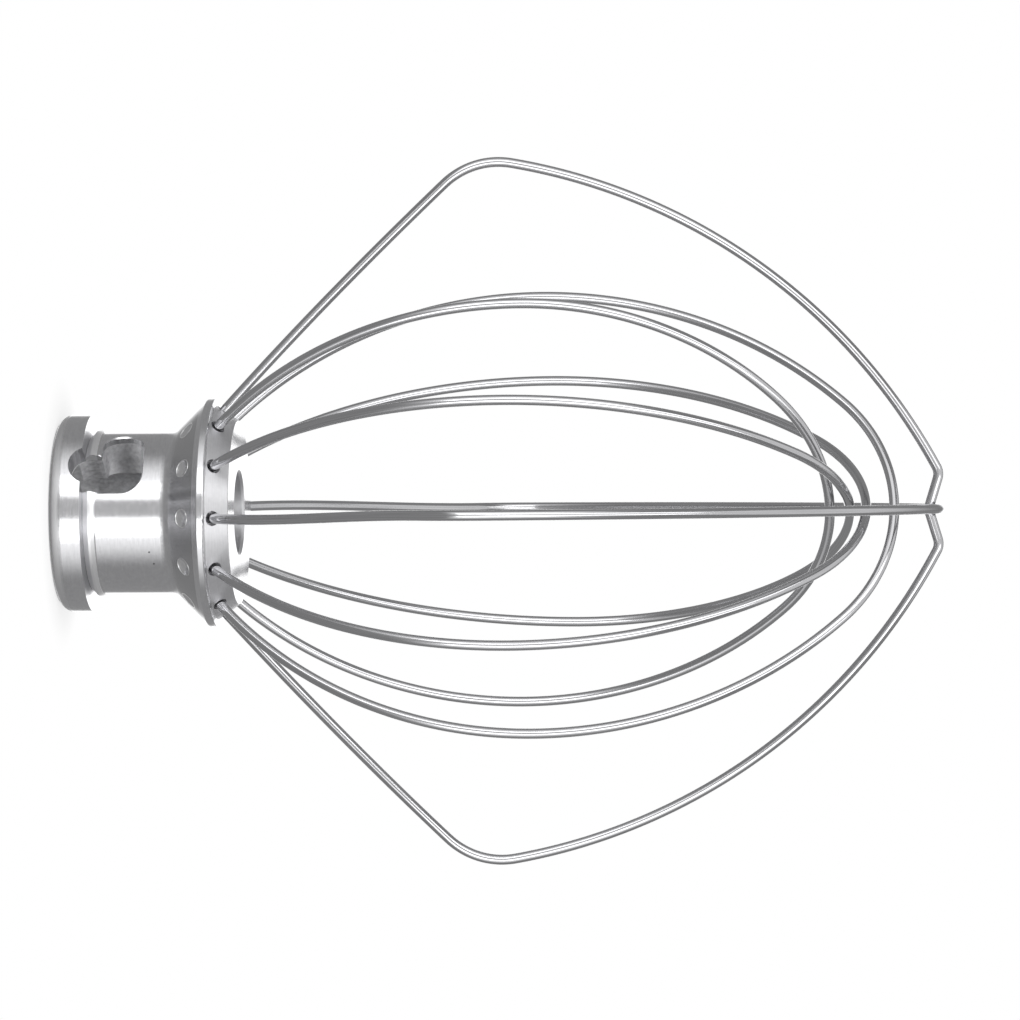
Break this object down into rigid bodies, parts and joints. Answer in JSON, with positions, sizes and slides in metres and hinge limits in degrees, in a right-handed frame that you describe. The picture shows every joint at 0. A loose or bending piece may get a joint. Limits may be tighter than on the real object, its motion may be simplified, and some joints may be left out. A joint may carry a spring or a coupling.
{
  "type": "mixer whisk",
  "caption": "Wire whisk for a stand mixer: a turned aluminium hub with a bayonet slot for the drive shaft, carrying nested egg-shaped and crossing diamond-shaped stainless wire loops.",
  "frame": {"origin": "centre of the hub's flat end, which is the bottom of the whisk as it stands", "axes": "+Z along the whisk's axis from the hub to the tip of the wires, +X in the plane of the dimpled outer wire, -Y towards the picture's viewer"},
  "size_m": [0.1392, 0.1392, 0.1741],
  "materials": {
    "hub_aluminium": "turned and burnished, with fine turning lines",
    "wire_stainless": "polished drawn wire"
  },
  "bodies": {
    "root": {"hub": "hub_aluminium", "outer_wire_plain": "wire_stainless", "outer_wire_dimpled": "wire_stainless", "inner_wire_1": "wire_stainless", "inner_wire_2": "wire_stainless", "inner_wire_3": "wire_stainless", "inner_wire_4": "wire_stainless"}
  },
  "joints": []
}
